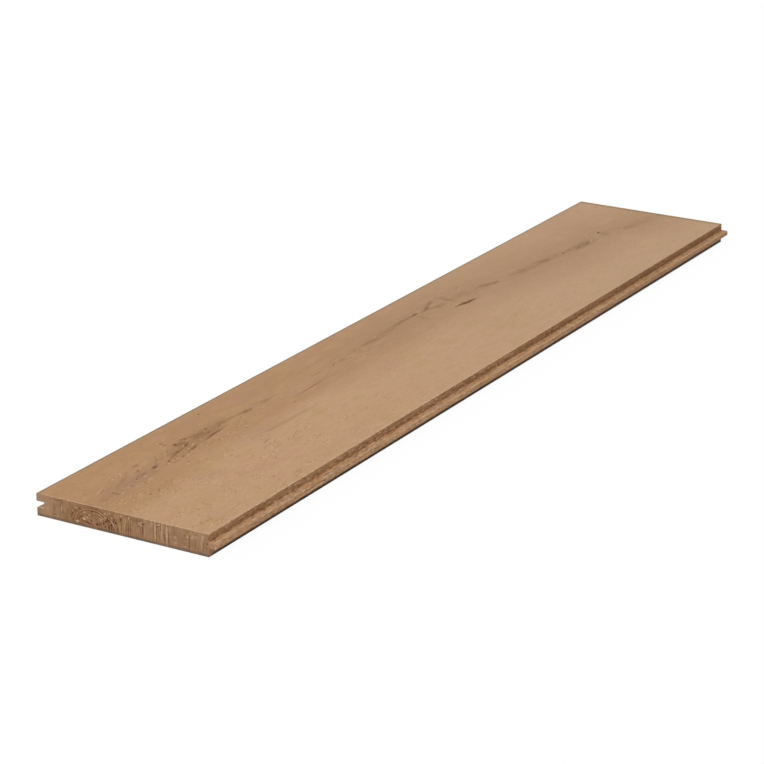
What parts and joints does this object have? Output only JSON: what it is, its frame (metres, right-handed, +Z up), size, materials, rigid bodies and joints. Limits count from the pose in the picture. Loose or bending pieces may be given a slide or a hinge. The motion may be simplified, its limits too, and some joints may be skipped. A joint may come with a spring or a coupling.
{
  "type": "wide plank floorboard",
  "caption": "Flat solid oak floorboard with a tongue along one long side, a groove along the other and square sawn ends.",
  "frame": {"origin": "on the underside, half way along the board and half way across its cover width, which leaves out the tongue", "axes": "+X across the board towards the tongue, +Y along the board, +Z up out of the walking face"},
  "size_m": [0.1878, 1.05, 0.021],
  "materials": {
    "oak": "satin"
  },
  "bodies": {
    "root": {"floorboard": "oak"}
  },
  "joints": []
}
